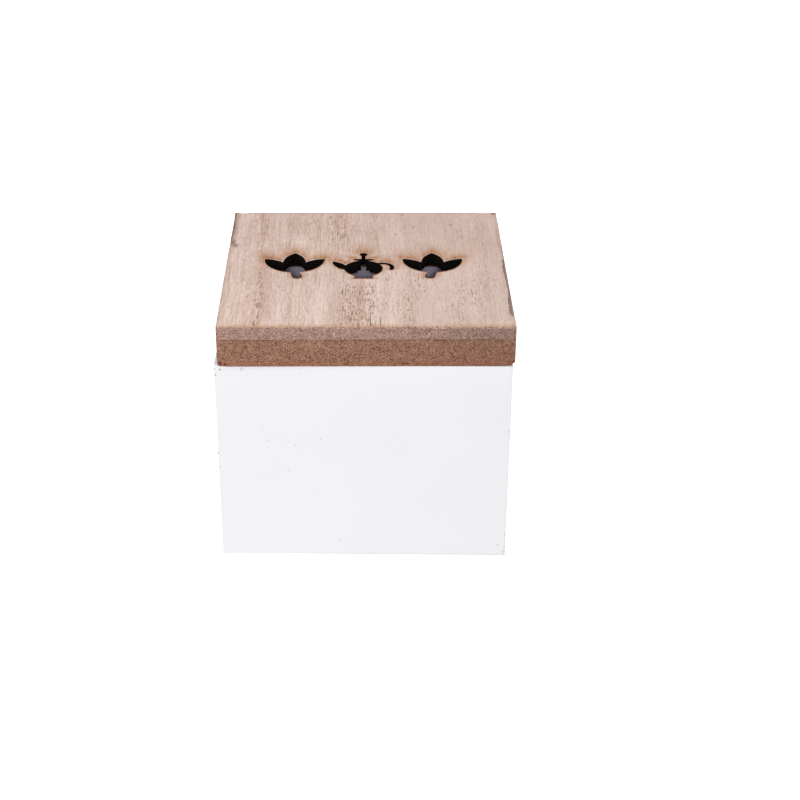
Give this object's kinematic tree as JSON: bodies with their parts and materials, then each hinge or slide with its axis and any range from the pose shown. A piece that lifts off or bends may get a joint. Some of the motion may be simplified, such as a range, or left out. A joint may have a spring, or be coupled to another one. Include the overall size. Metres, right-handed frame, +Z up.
{
  "type": "single compartment tea box",
  "caption": "Square wooden tea box, painted white outside, with a bare fibreboard lid whose veneered top is cut through with a row of two leafy sprigs and a teapot.",
  "frame": {"origin": "middle of the painted box's underside, on the surface it stands on", "axes": "+Z up, -Y towards the front, +X to the right seen from the front"},
  "size_m": [0.0918, 0.092, 0.0816],
  "materials": {
    "white_paint": "satin white paint over board, small dings and worn corners",
    "frame_fibreboard": "bare medium-density fibreboard, sanded edge",
    "top_fibreboard": "bare fibreboard edge, charred black where it is cut through",
    "veneer": "pale open-grained veneer, unvarnished, scorched beside the cuts"
  },
  "bodies": {
    "root": {"front_panel": "white_paint", "back_panel": "white_paint", "left_panel": "white_paint", "right_panel": "white_paint", "floor_panel": "white_paint", "lid_frame": "frame_fibreboard", "lip_front": "frame_fibreboard", "lip_back": "frame_fibreboard", "lip_left": "frame_fibreboard", "lip_right": "frame_fibreboard", "lid_board": "top_fibreboard", "lid_veneer": "veneer"}
  },
  "joints": []
}
